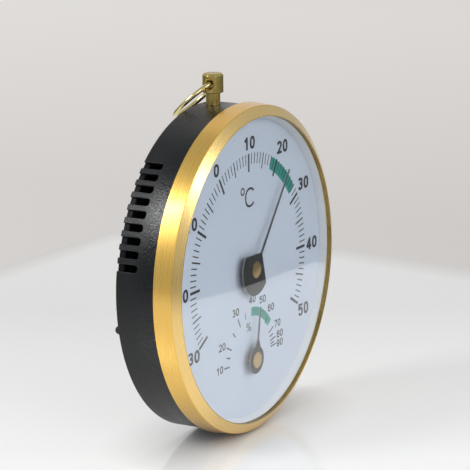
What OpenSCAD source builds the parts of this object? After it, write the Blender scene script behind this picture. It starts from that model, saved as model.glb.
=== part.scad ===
// Round dial thermo-hygrometer for a wall, with a moulded case, a turned bezel and a hanging ring.
// The dial faces the front (-Y) and +Z is up. The origin is the centre of the flat back.
// Every piece is drawn with its axis along z, the back at z = 0 and the viewer at +z, then turned
// upright by upright(). Angles on the dial are clockwise from the top, as a reader sees them.

/* [Case] */
// Outer diameter of the moulded case
case_d = 100; // [94:1:115]
// Thickness of the case's side wall
case_wall = 1.5; // [1.2:0.1:1.9]
// Distance from the case's side to the dial's seat, under the bezel
front_wall = 2.3; // [2.1:0.1:2.8]
// Step in the case's side that the bezel sits in
band_step = 0.45; // [0.3:0.05:0.6]
// Wall of the case around the back cover
rim_wall = 0.7; // [0.6:0.1:1]
// Height of the dial's seat above the flat back
seat_h = 15.5; // [15:0.1:19]
// Width of the ledge that carries the dial
ledge_w = 3; // [2.4:0.1:5]
// Thickness of the ledge that carries the dial
ledge_t = 2.4; // [1.5:0.1:3]
// Chamfer round the case's rear edge
rear_edge = 0.3; // [0.1:0.1:0.5]

/* [Air slots] */
// Number of slots on each side
slot_count = 9; // [5:1:9]
// Angle from one slot to the next
slot_pitch = 4.6; // [4:0.1:5.2]
// Angle of the lowest slot above the level of the axis
slot_first = 10.7; // [8:0.1:12]
// Width of a slot
slot_w = 2.15; // [1.6:0.05:2.4]
// Length of a slot from the rear edge
slot_len = 6.8; // [5:0.1:9]
// Corner radius at the slot's front end
slot_corner = 0.7; // [0.3:0.05:0.75]

/* [Back cover] */
// Thickness of the back cover
cover_t = 2; // [1.6:0.1:2.4]
// Gap between the cover's edge and the case wall
cover_gap = 0.1; // [0.05:0.05:0.2]
// Diameter of the cover screws' shanks
screw_d = 2.2; // [1.8:0.1:2.6]
// Length of the cover screws
screw_len = 8; // [6:0.5:10]
// Diameter of the bosses that take the cover screws
boss_d = 6; // [5:0.5:7]
// Angle of the cover screws from the vertical
boss_angle = 25; // [20:1:35]
// Diameter of the three rear feet
foot_d = 2.8; // [2.4:0.1:3.4]
// Height of the rear feet behind the cover
foot_h = 2.1; // [1.2:0.1:2.4]
// Angle of the two lower feet from the top
foot_angle = 102.5; // [95:0.5:120]

/* [Bezel and glass] */
// Radial thickness of the bezel at its rear edge
bezel_wall = 1.25; // [1.1:0.05:1.6]
// Narrowing of the bezel's band towards the front, on the radius
bezel_taper = 0.55; // [0:0.05:0.6]
// Length of the bezel along the axis
bezel_len = 7.6; // [7:0.05:8]
// Depth of the bevel on the bezel's front
bevel_h = 1.85; // [1.5:0.05:2]
// Height of the lip in front of the glass
lip_h = 0.85; // [0.75:0.05:1.1]
// Width of glass that the lip covers
lip_cover = 0.6; // [0.4:0.05:0.8]
// Depth of the snap bead inside the bezel
bead_h = 0.35; // [0.2:0.05:0.45]
// Thickness of the glass
glass_t = 0.8; // [0.7:0.1:1.2]
// Thickness of the ring that the glass rests on
seat_ring_t = 0.55; // [0.4:0.05:0.8]
// Height of the white spacer between the dial and that ring
spacer_h = 2.2; // [2.1:0.1:3]
// Width of the spacer's foot on the dial
spacer_w = 1.6; // [1.3:0.05:2]

/* [Dial] */
// Thickness of the dial plate
dial_t = 0.8; // [0.5:0.1:1.2]
// Distance of the humidity axis below the centre
hygro_drop = 28.5; // [27:0.5:30]
// Temperature scale: degrees of turn for each degree Celsius
turn_per_degree = 3; // [2.5:0.1:3.2]
// Temperature that stands at the top of the dial
top_temperature = 10; // [0:1:20]
// Temperature that the pointer shows
temperature = 23; // [0:0.1:40]
// Angle that the humidity pointer shows, clockwise from its top
humidity_angle = 10; // [-60:0.5:60]

/* [Pointers] */
// Thickness of the pointer plates
pointer_t = 0.4; // [0.3:0.05:0.5]
// Length of the temperature pointer from its axis
thermo_len = 35; // [28:0.1:38]
// Radius of the temperature pointer's hub plate
hub_r = 8.1; // [6.5:0.1:9]
// Distance of the hub plate's two flats from the axis
hub_flat = 4.8; // [4:0.1:6]
// Angle of those flats' normals from the needle
hub_flat_angle = 37; // [30:1:45]
// Width of the temperature needle at its root
needle_w = 1.1; // [0.8:0.1:1.6]
// Width of both needles at the tip
tip_w = 0.5; // [0.4:0.05:0.7]
// Length of the humidity pointer from its axis
hygro_len = 16.4; // [13:0.1:18]
// Radius of the humidity pointer's disc
hygro_disc_r = 4.3; // [3.6:0.1:5]
// Diameter of the brass bosses in front of the pointers
boss_cap_d = 5.1; // [4.4:0.1:6]
// Thickness of the head of these bosses
boss_cap_t = 0.3; // [0.2:0.05:0.5]
// Clearance between the bosses and the glass
glass_gap = 0.15; // [0.15:0.05:0.3]

/* [Movements] */
// Diameter of the two pointer staffs
staff_d = 1.5; // [1.2:0.1:1.8]
// Diameter of the staffs' rear pivots
pivot_d = 1; // [0.8:0.05:1.1]
// Running clearance of a staff in its bearing, on the radius
running = 0.03; // [0.02:0.01:0.06]
// End play of each staff
end_play = 0.3; // [0.2:0.05:0.5]
// Thickness of the movement plate behind the dial
plate_t = 1.2; // [1:0.1:1.6]
// Radius of the movement plate around the temperature movement
plate_r = 17; // [16.5:0.1:19]
// Radius of the movement plate around the humidity movement
plate_low_r = 12; // [11.5:0.1:13]
// Barrel diameter of the dial bushes
bush_d = 3.4; // [3:0.1:4]
// Flange diameter of the dial bushes
bush_flange_d = 4.8; // [4.6:0.1:5.6]
// Thickness of a bush flange
bush_flange_t = 0.5; // [0.3:0.1:0.7]
// Width across the flats of the bush nuts
bush_nut_w = 6; // [5.5:0.1:6.6]
// Thickness of the bush nuts
bush_nut_t = 1.5; // [1.2:0.1:1.8]
// Gap between the back cover and the bridges
bridge_gap = 2.4; // [2:0.1:3]
// Thickness of the bridges
bridge_t = 1.2; // [1:0.1:1.6]
// Diameter of the pillars
pillar_d = 3; // [2.6:0.1:3.4]
// Diameter of the pillars' tenons and screws
tenon_d = 1.6; // [1.2:0.1:1.8]
// Radius on which the three temperature pillars stand
thermo_pillar_r = 13.5; // [13:0.1:14]
// Radius on which the two humidity pillars stand
hygro_pillar_r = 9.6; // [9.4:0.1:10]

/* [Spirals] */
// Thickness of the bimetal strip
thermo_strip_t = 0.35; // [0.25:0.05:0.45]
// Turns of the bimetal spiral
thermo_turns = 7; // [4:1:7]
// Outer radius of the bimetal spiral
thermo_spiral_r = 10; // [9:0.1:10.2]
// Diameter of the temperature collet
thermo_collet_d = 4.8; // [4:0.1:5.2]
// Thickness of the moisture-sensing strip
hygro_strip_t = 0.3; // [0.2:0.05:0.4]
// Turns of the moisture-sensing spiral
hygro_turns = 4; // [3:1:4]
// Outer radius of the moisture-sensing spiral
hygro_spiral_r = 6.4; // [6:0.1:6.5]
// Diameter of the humidity collet
hygro_collet_d = 4; // [3.6:0.1:4.2]
// Diameter of the posts that hold the spirals' outer ends
post_d = 1.6; // [1.4:0.1:1.8]
// Diameter of the humidity adjuster's barrel
adjuster_d = 4; // [3.6:0.1:4.4]
// Width of the screwdriver slot in the adjuster
driver_slot = 0.8; // [0.6:0.1:1]

/* [Hanger] */
// Distance of the hanger stud from the flat back
stud_z = 4.6; // [4.6:0.1:5.5]
// Diameter of the stud's shank
shank_d = 4.4; // [4:0.1:4.8]
// Height of the shank between the case and the head
shank_h = 3.7; // [3:0.1:6]
// Diameter of the stud's head
head_d = 6.4; // [5.8:0.1:7]
// Height of the stud's head
head_h = 5.8; // [5:0.1:7]
// Height of the cross hole above the head's lower face
hole_up = 2.9; // [2.6:0.1:3.2]
// Diameter of the stud's threaded end
thread_d = 3; // [2.6:0.1:3.2]
// Width across the flats of the hanger nut
hanger_nut_w = 5; // [4.6:0.1:5]
// Thickness of the hanger nut
hanger_nut_t = 2.4; // [1.8:0.1:3]
// Turn of the cross hole away from the case's width
stud_turn = 8; // [0:1:30]
// Mean diameter of the hanging ring
ring_d = 16; // [15:0.5:20]
// Wire diameter of the hanging ring
wire_d = 1.45; // [1.2:0.05:1.8]
// Tilt of the ring below the level, towards the back
ring_tilt = 42; // [30:1:44]

/* [Hidden] */
$fn = 96;

// Distance that a cutting shape runs past the face it cuts
over = 0.5;
// Slip fit between pieces that are put together by hand, on the radius
slip = 0.05;

// Radii of the case and of what it holds
case_r = case_d / 2;
inner_r = case_r - case_wall;
seat_r = case_r - front_wall;
disc_r = seat_r - 2 * slip;
rim_r = case_r - rim_wall;
cover_r = rim_r - cover_gap;
band_r = case_r - band_step;

// Heights of the stack from the dial's seat to the bezel's lip
dial_z = seat_h + dial_t;
seat_ring_z = dial_z + spacer_h;
glass_z = seat_ring_z + seat_ring_t;
lip_z = glass_z + glass_t;
front_z = lip_z + lip_h;
case_front_z = seat_ring_z - 0.4;

// Bezel
bezel_in_r = band_r + slip;
bezel_rear_r = bezel_in_r + bezel_wall;
bezel_front_r = bezel_rear_r - bezel_taper;
bezel_z = front_z - bezel_len;
lip_r = disc_r - lip_cover;
bead_w = 0.6;
bead_z = bezel_z + 0.5;

// Bosses and screws of the back cover
boss_r = inner_r - boss_d / 2 - 0.6;
screw_head_d = 2 * screw_d;
screw_head_h = screw_d / 2;
foot_r = cover_r - foot_d / 2 - 0.1;
boss_angles = [boss_angle, 180 - boss_angle, 180 + boss_angle, 360 - boss_angle];
foot_angles = [0, foot_angle, 360 - foot_angle];

// Heights of the movements between the cover and the dial
plate_z = seat_h - plate_t;
bridge_z = cover_t + bridge_gap;
bridge_front_z = bridge_z + bridge_t;
bush_rear_z = plate_z - bush_nut_t - 0.3;
rear_bush_z = bridge_front_z + 0.6;
staff_r = staff_d / 2;
pivot_r = pivot_d / 2;
pointer_z = glass_z - glass_gap - boss_cap_t - pointer_t;
pointer_front_z = pointer_z + pointer_t;
boss_cap_z = pointer_front_z + boss_cap_t;
rivet_r = staff_r + 0.55;
thermo_turn = (temperature - top_temperature) * turn_per_degree;

// Spirals between the bearings
collet_front_z = bush_rear_z - end_play;
thermo_collet_z = rear_bush_z + end_play;
arm_z = bridge_front_z + 0.3;
arm_t = 0.8;
hygro_collet_z = arm_z + arm_t + end_play;
strip_margin = 0.4;
strip_step = 15;
strip_slip = 0.06;
post_slip = 0.2;
thermo_post_angle = 180;
hygro_post_angle = 180;

// Hanger
nut_seat_y = inner_r - 2;
spot_y = case_r - 0.15;
head_y = case_r + shank_h;
hole_y = head_y + hole_up;
ring_r = ring_d / 2;
wire_r = wire_d / 2;
head_r = head_d / 2;
// Rise of the bent wire over the width of the stud's head, which the cross hole has to let through
wire_rise = ring_r - sqrt(ring_r * ring_r - head_r * head_r);
hole_r = wire_rise / 2 + wire_r + 0.12;
washer_t = 0.5;
ring_joint_gap = 2;

// Turns a piece drawn along z so that its front faces -Y and its y points up
module upright() {
    rotate([90, 0, 0])
        children();
}

// Moves a piece from the centre of the dial to the humidity axis
module at_hygro() {
    translate([0, -hygro_drop, 0])
        children();
}

// Turns a piece clockwise from the top, as a reader sees it
module clockwise(angle) {
    rotate([0, 0, -angle])
        children();
}

// Solid disc between two heights
module disc(r, z0, z1) {
    translate([0, 0, z0])
        cylinder(r = r, h = z1 - z0);
}

// Ring between two heights
module washer(outer, inner, z0, z1) {
    difference() {
        disc(outer, z0, z1);
        disc(inner, z0 - over, z1 + over);
    }
}

// Hexagon across its flats
module hexagon(width, z0, z1) {
    translate([0, 0, z0])
        cylinder(d = width / cos(30), h = z1 - z0, $fn = 6);
}

// Moulded case: tube, dial ledge, screw bosses, pad for the hanger and air slots
module case() {
    color([0.17, 0.17, 0.18])
        upright()
            difference() {
                union() {
                    case_shell();
                    for (a = boss_angles)
                        clockwise(a)
                            cover_boss();
                    hanger_pad();
                }
                for (side = [-1, 1], i = [0 : slot_count - 1])
                    clockwise(side * (90 - slot_first - i * slot_pitch))
                        slot_cutter();
                for (a = boss_angles)
                    clockwise(a)
                        translate([0, boss_r, 0])
                            disc(screw_d / 2, cover_t - over, screw_len + 0.6);
                hanger_bore();
            }
}

// Wall and ledge, turned about the axis
module case_shell() {
    ledge_z = seat_h - ledge_t;
    groove_z = bead_z - 0.1;
    groove_w = bead_w + 0.2;
    step_z = bezel_z - 0.2;
    difference() {
        rotate_extrude()
            polygon([
                [rim_r, 0],
                [case_r - rear_edge, 0],
                [case_r, rear_edge],
                [case_r, step_z],
                [band_r, step_z],
                [band_r, case_front_z - 0.3],
                [band_r - 0.3, case_front_z],
                [seat_r, case_front_z],
                [seat_r, seat_h],
                [seat_r - ledge_w, seat_h],
                [seat_r - ledge_w, ledge_z],
                [inner_r, ledge_z],
                [inner_r, cover_t],
                [rim_r, cover_t]
            ]);
        washer(band_r + over, band_r - bead_h - slip, groove_z, groove_z + groove_w);
    }
}

// Boss for one cover screw, with the web that joins it to the wall
module cover_boss() {
    web = boss_d / 2;
    translate([0, boss_r, 0])
        disc(boss_d / 2, cover_t, seat_h - ledge_t + over / 2);
    translate([-web / 2, boss_r, cover_t])
        cube([web, inner_r - boss_r + case_wall / 2, seat_h - ledge_t - cover_t + over / 2]);
}

// Flat pad inside the wall, where the hanger's nut seats
module hanger_pad() {
    width = 2 * hanger_nut_w;
    front = seat_h - ledge_t + over / 2;
    translate([-width / 2, nut_seat_y, cover_t])
        cube([width, inner_r - nut_seat_y + case_wall / 2, front - cover_t]);
}

// Bore for the hanger's thread and the flat that its shank stands on
module hanger_bore() {
    translate([0, 0, stud_z])
        rotate([-90, 0, 0]) {
            disc(thread_d / 2 + 0.1, nut_seat_y - over, case_r + over);
            disc(shank_d / 2 + 0.4, spot_y, case_r + over);
        }
}

// One air slot, open at the rear edge and rounded at its front end
module slot_cutter() {
    translate([0, inner_r - over, 0])
        rotate([-90, 0, 0])
            linear_extrude(case_wall + 2 * over) {
                translate([-slot_w / 2, slot_corner - slot_len])
                    square([slot_w, slot_len - slot_corner + over]);
                translate([slot_corner - slot_w / 2, -slot_len])
                    square([slot_w - 2 * slot_corner, slot_len]);
                for (side = [-1, 1])
                    translate([side * (slot_w / 2 - slot_corner), slot_corner - slot_len])
                        circle(slot_corner);
            }
}

// Back cover: a disc in the rebate of the wall, with countersinks, foot holes and the adjuster's hole
module back_cover() {
    color([0.15, 0.15, 0.16])
        upright()
            difference() {
                disc(cover_r, 0, cover_t);
                for (a = boss_angles)
                    clockwise(a)
                        translate([0, boss_r, 0]) {
                            disc(screw_d / 2, -over, cover_t + over);
                            cylinder(d1 = screw_head_d, d2 = screw_d, h = screw_head_h);
                        }
                for (a = foot_angles)
                    clockwise(a)
                        translate([0, foot_r, 0])
                            disc(foot_d / 4, -over, cover_t * 0.6);
                at_hygro()
                    disc(adjuster_d / 2 + 0.4, -over, cover_t + over);
            }
}

// Four countersunk screws that hold the back cover
module cover_screws() {
    color([0.6, 0.6, 0.62])
        upright()
            for (a = boss_angles)
                clockwise(a)
                    translate([0, boss_r, 0])
                        difference() {
                            union() {
                                cylinder(d1 = screw_head_d, d2 = screw_d, h = screw_head_h);
                                disc(screw_d / 2, screw_head_h / 2, screw_len);
                            }
                            for (turn = [0, 90])
                                rotate(turn)
                                    translate([-screw_d * 0.6, -0.25, -over])
                                        cube([screw_d * 1.2, 0.5, screw_head_h * 0.6 + over]);
                        }
}

// Three round feet that keep the back off the wall
module rear_feet() {
    color([0.08, 0.08, 0.08])
        upright()
            for (a = foot_angles)
                clockwise(a)
                    translate([0, foot_r, 0])
                        rotate_extrude()
                            polygon([
                                [0, cover_t * 0.6],
                                [foot_d / 4, cover_t * 0.6],
                                [foot_d / 4, 0],
                                [foot_d / 2, 0],
                                [foot_d / 2, -foot_h * 0.4],
                                [foot_d * 0.42, -foot_h * 0.78],
                                [foot_d * 0.28, -foot_h],
                                [0, -foot_h]
                            ]);
}

// Turned aluminium bezel with its snap bead, glass pocket, bevel and lip
module bezel() {
    pocket_z = case_front_z + 2 * slip;
    edge = 0.15;
    color([0.83, 0.65, 0.33])
        upright()
            rotate_extrude()
                polygon([
                    [bezel_in_r, bezel_z],
                    [bezel_rear_r - edge, bezel_z],
                    [bezel_rear_r, bezel_z + edge],
                    [bezel_front_r, front_z - bevel_h],
                    [lip_r + edge, front_z],
                    [lip_r, front_z - edge],
                    [lip_r, lip_z],
                    [seat_r, lip_z],
                    [seat_r, pocket_z],
                    [bezel_in_r, pocket_z],
                    [bezel_in_r, bead_z + bead_w],
                    [bezel_in_r - bead_h, bead_z + bead_w * 0.7],
                    [bezel_in_r - bead_h, bead_z + bead_w * 0.3],
                    [bezel_in_r, bead_z]
                ]);
}

// Flat glass behind the lip
module glass() {
    color([0.85, 0.9, 0.92, 0.35])
        upright()
            disc(disc_r, glass_z, lip_z);
}

// Thin ring that the glass rests on
module glass_seat_ring() {
    color([0.62, 0.47, 0.22])
        upright()
            washer(disc_r, lip_r, seat_ring_z, glass_z);
}

// White spacer that stands on the dial's rim, wider at its foot
module spacer_ring() {
    color([0.88, 0.9, 0.9])
        upright()
            rotate_extrude()
                polygon([
                    [disc_r - spacer_w, dial_z],
                    [disc_r, dial_z],
                    [disc_r, seat_ring_z],
                    [lip_r - 0.1, seat_ring_z]
                ]);
}

// Printed dial plate with the holes for both bushes
module dial_plate() {
    color([0.86, 0.9, 0.95])
        upright()
            difference() {
                disc(disc_r, seat_h, dial_z);
                disc(bush_d / 2, seat_h - over, dial_z + over);
                at_hygro()
                    disc(bush_d / 2, seat_h - over, dial_z + over);
            }
}

// Plate behind the dial that carries both movements
module movement_plate() {
    color([0.72, 0.6, 0.35])
        upright()
            difference() {
                union() {
                    disc(plate_r, plate_z, seat_h);
                    at_hygro()
                        disc(plate_low_r, plate_z, seat_h);
                    translate([-plate_low_r, -hygro_drop, plate_z])
                        cube([2 * plate_low_r, hygro_drop, plate_t]);
                }
                disc(bush_d / 2, plate_z - over, seat_h + over);
                at_hygro()
                    disc(bush_d / 2, plate_z - over, seat_h + over);
                thermo_pillar_places()
                    disc(tenon_d / 2, plate_z - over, seat_h + over);
                hygro_pillar_places()
                    disc(tenon_d / 2, plate_z - over, seat_h + over);
            }
}

// Places of the three pillars of the temperature movement
module thermo_pillar_places() {
    for (a = [0, 120, 240])
        clockwise(a)
            translate([0, thermo_pillar_r, 0])
                children();
}

// Places of the two pillars of the humidity movement
module hygro_pillar_places() {
    at_hygro()
        for (a = [90, 270])
            clockwise(a)
                translate([0, hygro_pillar_r, 0])
                    children();
}

// Flanged bush through the dial and the movement plate
module dial_bush() {
    difference() {
        union() {
            disc(bush_flange_d / 2, dial_z, dial_z + bush_flange_t);
            disc(bush_d / 2, bush_rear_z, dial_z + bush_flange_t);
        }
        disc(staff_r + running, bush_rear_z - over, dial_z + bush_flange_t + over);
    }
}

module thermo_bush() {
    color([0.8, 0.66, 0.36])
        upright()
            dial_bush();
}

module hygro_bush() {
    color([0.8, 0.66, 0.36])
        upright()
            at_hygro()
                dial_bush();
}

// Nuts that clamp the dial and the movement plate on the bushes
module bush_nuts() {
    color([0.75, 0.62, 0.34])
        upright()
            for (drop = [0, hygro_drop])
                translate([0, -drop, 0])
                    difference() {
                        hexagon(bush_nut_w, plate_z - bush_nut_t, plate_z);
                        disc(bush_d / 2, plate_z - bush_nut_t - over, plate_z + over);
                    }
}

// One pillar with its tenon in the movement plate and its thread for the bridge screw
module pillar() {
    difference() {
        union() {
            disc(pillar_d / 2, bridge_front_z, plate_z);
            disc(tenon_d / 2, plate_z - over, seat_h - 0.1);
        }
        disc(tenon_d / 2, bridge_front_z - over, bridge_front_z + pillar_d);
    }
}

// One screw through a bridge into its pillar
module bridge_screw() {
    head_h = 0.9;
    difference() {
        union() {
            disc(pillar_d / 2, bridge_z - head_h, bridge_z);
            disc(tenon_d / 2, bridge_z - head_h / 2, bridge_front_z + pillar_d - 0.4);
        }
        translate([-pillar_d, -0.25, bridge_z - head_h - over])
            cube([2 * pillar_d, 0.5, head_h / 2 + over]);
    }
}

module thermo_pillars() {
    color([0.78, 0.64, 0.36])
        upright()
            thermo_pillar_places()
                pillar();
}

module thermo_bridge_screws() {
    color([0.7, 0.7, 0.72])
        upright()
            thermo_pillar_places()
                bridge_screw();
}

module hygro_pillars() {
    color([0.78, 0.64, 0.36])
        upright()
            hygro_pillar_places()
                pillar();
}

module hygro_bridge_screws() {
    color([0.7, 0.7, 0.72])
        upright()
            hygro_pillar_places()
                bridge_screw();
}

// Round bridge with three ears over the temperature pillars
module thermo_bridge() {
    ear_r = pillar_d / 2 + 1;
    arm_w = pillar_d + 1;
    disc_out = thermo_spiral_r + post_d / 2 + 0.9;
    color([0.74, 0.61, 0.35])
        upright()
            difference() {
                union() {
                    disc(disc_out, bridge_z, bridge_front_z);
                    thermo_pillar_places()
                        disc(ear_r, bridge_z, bridge_front_z);
                    for (a = [0, 120, 240])
                        clockwise(a)
                            translate([-arm_w / 2, disc_out / 2, bridge_z])
                                cube([arm_w, thermo_pillar_r - disc_out / 2, bridge_t]);
                }
                disc(staff_r + 1, bridge_z - over, bridge_front_z + over);
                thermo_pillar_places()
                    disc(tenon_d / 2, bridge_z - over, bridge_front_z + over);
                clockwise(thermo_post_angle)
                    translate([0, thermo_spiral_r, 0])
                        disc(post_d / 2, bridge_z - over, bridge_front_z + over);
            }
}

// Rear bearing of the temperature staff, pressed into the bridge
module thermo_rear_bush() {
    color([0.8, 0.66, 0.36])
        upright()
            difference() {
                union() {
                    disc(staff_r + 1, bridge_z, rear_bush_z);
                    disc(staff_r + 1.6, bridge_front_z, rear_bush_z);
                }
                disc(pivot_r + running, bridge_z - over, rear_bush_z + over);
            }
}

// Post that clamps the outer end of a spiral in its slit
module spiral_post(z0, radius, strip_t) {
    top = collet_front_z;
    slit = strip_t + 2 * post_slip;
    difference() {
        translate([0, radius, 0])
            disc(post_d / 2, z0, top);
        translate([-post_d, radius - slit / 2, thermo_collet_z])
            cube([2 * post_d, slit, top - thermo_collet_z + over]);
    }
}

module thermo_spiral_post() {
    color([0.76, 0.63, 0.36])
        upright()
            clockwise(thermo_post_angle)
                spiral_post(bridge_z, thermo_spiral_r, thermo_strip_t);
}

// Strip wound in a flat spiral, from the collet out to its post
module spiral(r_in, r_out, turns, strip_t, z0, z1) {
    total = 360 * turns;
    steps = [0 : strip_step : total];
    function middle(a) = r_in + (r_out - r_in) * a / total;
    outer = [for (a = steps) (middle(a) + strip_t / 2) * [-sin(a - total), cos(a - total)]];
    inner = [for (a = steps) (middle(a) - strip_t / 2) * [-sin(a - total), cos(a - total)]];
    count = len(outer);
    translate([0, 0, z0])
        linear_extrude(z1 - z0)
            polygon(concat(outer, [for (i = [0 : count - 1]) inner[count - 1 - i]]));
}

// Bimetal spiral of the thermometer
module thermo_spiral() {
    inner = thermo_collet_d / 2 + thermo_strip_t / 2 + strip_slip;
    color([0.7, 0.68, 0.62])
        upright()
            clockwise(thermo_post_angle)
                spiral(inner, thermo_spiral_r, thermo_turns, thermo_strip_t,
                       thermo_collet_z + strip_margin, collet_front_z - strip_margin);
}

// Collet that carries the spiral's inner end on the staff
module collet(d, z0) {
    washer(d / 2, staff_r, z0, collet_front_z);
}

module thermo_collet() {
    color([0.8, 0.66, 0.36])
        upright()
            collet(thermo_collet_d, thermo_collet_z);
}

// Staff with its thin rear pivot, from the rear bearing to the pointer's boss
module staff(pivot_z, shoulder_z) {
    union() {
        disc(pivot_r, pivot_z, shoulder_z + over);
        disc(staff_r, shoulder_z, pointer_front_z);
    }
}

module thermo_staff() {
    color([0.72, 0.73, 0.75])
        upright()
            staff(bridge_z + 0.3, thermo_collet_z);
}

// Flat outline at the height and thickness of the pointers
module sheet() {
    translate([0, 0, pointer_z])
        linear_extrude(pointer_t)
            children();
}

// Hub plate of the temperature pointer, cut by two flats that meet at the needle
module thermo_hub_outline() {
    difference() {
        circle(hub_r);
        for (side = [-1, 1])
            rotate(side * hub_flat_angle)
                translate([-2 * hub_r, hub_flat])
                    square([4 * hub_r, 2 * hub_r]);
    }
}

// Tapered needle from one radius to another
module needle(root_r, root_w, length) {
    polygon([
        [-root_w / 2, root_r],
        [-tip_w / 2, length],
        [tip_w / 2, length],
        [root_w / 2, root_r]
    ]);
}

// Temperature pointer, stamped from sheet
module thermo_pointer() {
    apex_r = hub_flat / cos(hub_flat_angle);
    root_r = apex_r - needle_w;
    color([0.16, 0.16, 0.17])
        upright()
            clockwise(thermo_turn)
                difference() {
                    union() {
                        sheet()
                            thermo_hub_outline();
                        sheet()
                            needle(root_r, needle_w, thermo_len);
                    }
                    disc(rivet_r, pointer_z - over, pointer_front_z + over);
                }
}

// Brass boss riveted in a pointer and pressed on its staff
module pointer_boss() {
    sleeve_z = dial_z + bush_flange_t + end_play;
    difference() {
        union() {
            disc(boss_cap_d / 2, pointer_front_z, boss_cap_z);
            disc(rivet_r, sleeve_z, boss_cap_z);
            disc(rivet_r + 0.5, sleeve_z, pointer_z);
        }
        disc(staff_r, sleeve_z - over, pointer_front_z);
    }
}

module thermo_pointer_boss() {
    color([0.72, 0.58, 0.3])
        upright()
            pointer_boss();
}

// Bar bridge over the two humidity pillars
module hygro_bridge() {
    ear_r = pillar_d / 2 + 0.6;
    color([0.74, 0.61, 0.35])
        upright()
            at_hygro()
                difference() {
                    union() {
                        disc(adjuster_d, bridge_z, bridge_front_z);
                        for (a = [90, 270])
                            clockwise(a)
                                translate([0, hygro_pillar_r, 0])
                                    disc(ear_r, bridge_z, bridge_front_z);
                        translate([-hygro_pillar_r, -pillar_d / 2, bridge_z])
                            cube([2 * hygro_pillar_r, pillar_d, bridge_t]);
                    }
                    disc(adjuster_d / 2 + running, bridge_z - over, bridge_front_z + over);
                    for (a = [90, 270])
                        clockwise(a)
                            translate([0, hygro_pillar_r, 0])
                                disc(tenon_d / 2, bridge_z - over, bridge_front_z + over);
                }
}

// Adjuster of the hygrometer: slotted barrel in the bridge, with the arm that carries the post
module hygro_adjuster() {
    color([0.78, 0.64, 0.36])
        upright()
            at_hygro()
                difference() {
                    union() {
                        disc(adjuster_d / 2, 0.4, arm_z + arm_t);
                        disc(adjuster_d / 2 + 0.8, bridge_front_z + 0.05, arm_z + arm_t);
                        clockwise(hygro_post_angle) {
                            translate([-post_d / 2 - 0.3, 0, arm_z])
                                cube([post_d + 0.6, hygro_spiral_r, arm_t]);
                            translate([0, hygro_spiral_r, 0])
                                disc(post_d / 2 + 0.3, arm_z, arm_z + arm_t);
                        }
                    }
                    disc(pivot_r + running, bridge_z, arm_z + arm_t + over);
                    clockwise(hygro_post_angle)
                        translate([0, hygro_spiral_r, 0])
                            disc(post_d / 2, arm_z - over, arm_z + arm_t + over);
                    translate([-adjuster_d, -driver_slot / 2, -over])
                        cube([2 * adjuster_d, driver_slot, over + 1.4]);
                }
}

module hygro_spiral_post() {
    color([0.76, 0.63, 0.36])
        upright()
            at_hygro()
                clockwise(hygro_post_angle)
                    spiral_post(arm_z, hygro_spiral_r, hygro_strip_t);
}

// Moisture-sensing spiral of the hygrometer
module hygro_spiral() {
    inner = hygro_collet_d / 2 + hygro_strip_t / 2 + strip_slip;
    color([0.75, 0.7, 0.6])
        upright()
            at_hygro()
                clockwise(hygro_post_angle)
                    spiral(inner, hygro_spiral_r, hygro_turns, hygro_strip_t,
                           hygro_collet_z + strip_margin, collet_front_z - strip_margin);
}

module hygro_collet() {
    color([0.8, 0.66, 0.36])
        upright()
            at_hygro()
                collet(hygro_collet_d, hygro_collet_z);
}

module hygro_staff() {
    color([0.72, 0.73, 0.75])
        upright()
            at_hygro()
                staff(bridge_z + 0.3, hygro_collet_z);
}

// Humidity pointer: a disc with a short tapered root and a needle
module hygro_pointer() {
    root_r = hygro_disc_r * 0.88;
    root_half = hygro_disc_r * 0.42;
    waist_r = hygro_disc_r * 1.85;
    waist_half = tip_w * 0.7;
    color([0.2, 0.2, 0.21])
        upright()
            at_hygro()
                clockwise(humidity_angle)
                    difference() {
                        union() {
                            disc(hygro_disc_r, pointer_z, pointer_front_z);
                            sheet()
                                polygon([
                                    [-root_half, root_r],
                                    [-waist_half, waist_r],
                                    [-tip_w / 2, hygro_len],
                                    [tip_w / 2, hygro_len],
                                    [waist_half, waist_r],
                                    [root_half, root_r]
                                ]);
                        }
                        disc(rivet_r, pointer_z - over, pointer_front_z + over);
                    }
}

module hygro_pointer_boss() {
    color([0.72, 0.58, 0.3])
        upright()
            at_hygro()
                pointer_boss();
}

// Places a piece drawn along z on the hanger's upright axis
module on_hanger() {
    translate([0, 0, stud_z])
        rotate([-90, 0, 0])
            children();
}

// Turned brass stud with a cross hole through its head for the ring
module hanger_stud() {
    edge = 0.5;
    thread_end_y = nut_seat_y - washer_t - hanger_nut_t - 0.8;
    color([0.7, 0.58, 0.3])
        upright()
            on_hanger()
                rotate(stud_turn)
                    difference() {
                        union() {
                            disc(thread_d / 2, thread_end_y, spot_y + over);
                            disc(shank_d / 2, spot_y, head_y + over);
                            disc(head_r, head_y, head_y + head_h - edge);
                            translate([0, 0, head_y + head_h - edge])
                                cylinder(r1 = head_r, r2 = head_r - edge, h = edge);
                        }
                        translate([0, 0, hole_y])
                            rotate([0, 90, 0]) {
                                disc(hole_r, -head_d, head_d);
                                for (side = [0, 180])
                                    rotate([0, side, 0])
                                        translate([0, 0, head_r - edge])
                                            cylinder(r1 = hole_r, r2 = hole_r + 2 * edge, h = 2 * edge);
                            }
                    }
}

// Flat washer under the hanger's nut
module hanger_washer() {
    color([0.72, 0.72, 0.73])
        upright()
            on_hanger()
                washer(hanger_nut_w / 2 + 0.05, thread_d / 2, nut_seat_y - washer_t, nut_seat_y);
}

// Nut inside the case that holds the hanger stud
module hanger_nut() {
    nut_y = nut_seat_y - washer_t - hanger_nut_t;
    color([0.76, 0.62, 0.34])
        upright()
            on_hanger()
                difference() {
                    hexagon(hanger_nut_w, nut_y, nut_y + hanger_nut_t);
                    disc(thread_d / 2, nut_y - over, nut_y + hanger_nut_t + over);
                }
}

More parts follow.
